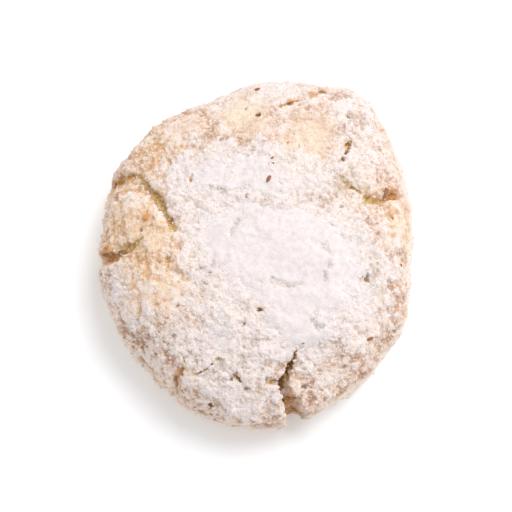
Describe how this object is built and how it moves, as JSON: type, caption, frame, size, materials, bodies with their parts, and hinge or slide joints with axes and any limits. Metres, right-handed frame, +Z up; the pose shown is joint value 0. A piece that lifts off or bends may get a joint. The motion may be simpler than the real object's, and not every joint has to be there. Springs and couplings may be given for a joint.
{
  "type": "almond cookie",
  "caption": "Round soft almond cookie with a domed, cracked crust under icing sugar, lying on its flat baked base.",
  "frame": {"origin": "centre of the flat base, on the surface that the cookie lies on", "axes": "+Z up through the thickness, +Y along the longer side away from the viewer, +X to the viewer's right"},
  "size_m": [0.057, 0.066, 0.021],
  "materials": {
    "cookie": "matt baked almond dough, peach to tan, dusted with white icing sugar, straw yellow in the cracks"
  },
  "bodies": {
    "root": {"cookie": "cookie"}
  },
  "joints": []
}
